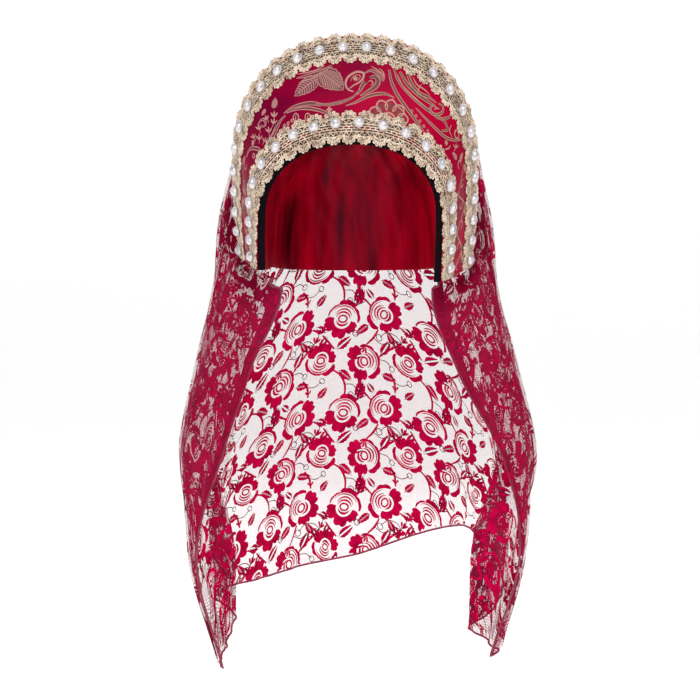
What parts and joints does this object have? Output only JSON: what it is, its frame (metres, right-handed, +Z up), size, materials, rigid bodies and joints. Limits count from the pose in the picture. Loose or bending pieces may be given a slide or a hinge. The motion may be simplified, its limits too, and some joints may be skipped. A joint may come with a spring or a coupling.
{
  "type": "french hood",
  "caption": "French hood with a flared brocade crescent edged in gold guipure lace and pearls, on a red satin cap, with a long red lace veil hanging behind.",
  "frame": {"origin": "the seat on the crown of the head, at the middle of the cap's inner top", "axes": "+Z up from the seat, the wearer's face looks along -Y, the wearer's left is at +X"},
  "size_m": [0.3528, 0.2086, 0.6339],
  "materials": {
    "satin_red": "satin",
    "brocade_red": "satin",
    "binding_black": "matte",
    "guipure_gold": "matte",
    "veil_red": "matte",
    "pearl_white": "gloss"
  },
  "bodies": {
    "root": {"satin_cap": "satin_red", "crescent": "brocade_red", "face_binding": "binding_black", "face_trim": "guipure_gold", "rim_trim": "guipure_gold", "veil": "veil_red", "face_pearl_01": "pearl_white", "face_pearl_02": "pearl_white", "face_pearl_03": "pearl_white", "face_pearl_04": "pearl_white", "face_pearl_05": "pearl_white", "face_pearl_06": "pearl_white", "face_pearl_07": "pearl_white", "face_pearl_08": "pearl_white", "face_pearl_09": "pearl_white", "face_pearl_10": "pearl_white", "face_pearl_11": "pearl_white", "face_pearl_12": "pearl_white", "face_pearl_13": "pearl_white", "face_pearl_14": "pearl_white", "face_pearl_15": "pearl_white", "face_pearl_16": "pearl_white", "face_pearl_17": "pearl_white", "face_pearl_18": "pearl_white", "face_pearl_19": "pearl_white", "face_pearl_20": "pearl_white", "rim_pearl_01": "pearl_white", "rim_pearl_02": "pearl_white", "rim_pearl_03": "pearl_white", "rim_pearl_04": "pearl_white", "rim_pearl_05": "pearl_white", "rim_pearl_06": "pearl_white", "rim_pearl_07": "pearl_white", "rim_pearl_08": "pearl_white", "rim_pearl_09": "pearl_white", "rim_pearl_10": "pearl_white", "rim_pearl_11": "pearl_white", "rim_pearl_12": "pearl_white", "rim_pearl_13": "pearl_white", "rim_pearl_14": "pearl_white", "rim_pearl_15": "pearl_white", "rim_pearl_16": "pearl_white", "rim_pearl_17": "pearl_white", "rim_pearl_18": "pearl_white", "rim_pearl_19": "pearl_white", "rim_pearl_20": "pearl_white", "rim_pearl_21": "pearl_white", "rim_pearl_22": "pearl_white", "rim_pearl_23": "pearl_white", "rim_pearl_24": "pearl_white", "rim_pearl_25": "pearl_white", "rim_pearl_26": "pearl_white"}
  },
  "joints": []
}
